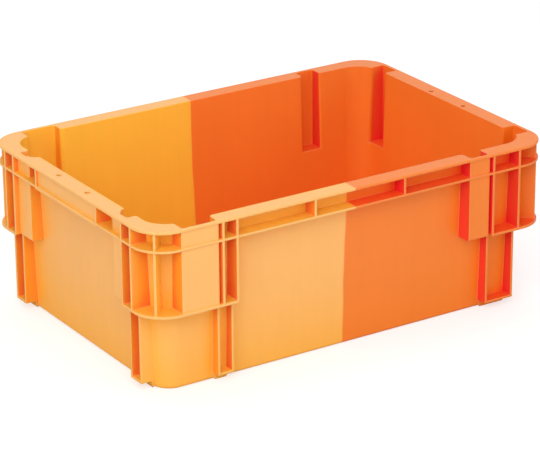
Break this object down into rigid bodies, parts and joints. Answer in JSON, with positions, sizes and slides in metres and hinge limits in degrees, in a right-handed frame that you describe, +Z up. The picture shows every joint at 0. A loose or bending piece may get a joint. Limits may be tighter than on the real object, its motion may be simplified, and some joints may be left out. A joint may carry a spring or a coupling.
{
  "type": "stack and nest container",
  "caption": "One-piece moulded container in two colours that stacks on its feet one way round and, turned end for end, nests as columns slide down channels in its walls",
  "frame": {"origin": "centre of the base, on the plane that the base stands on", "axes": "+X towards the dark end, -Y towards the front long wall, +Z up"},
  "size_m": [0.53, 0.366, 0.195],
  "materials": {
    "container": "fine moulded satin polypropylene, light orange at one end and deep orange at the other, joined at a weld line near the middle"
  },
  "bodies": {
    "root": {"container": "container"}
  },
  "joints": []
}
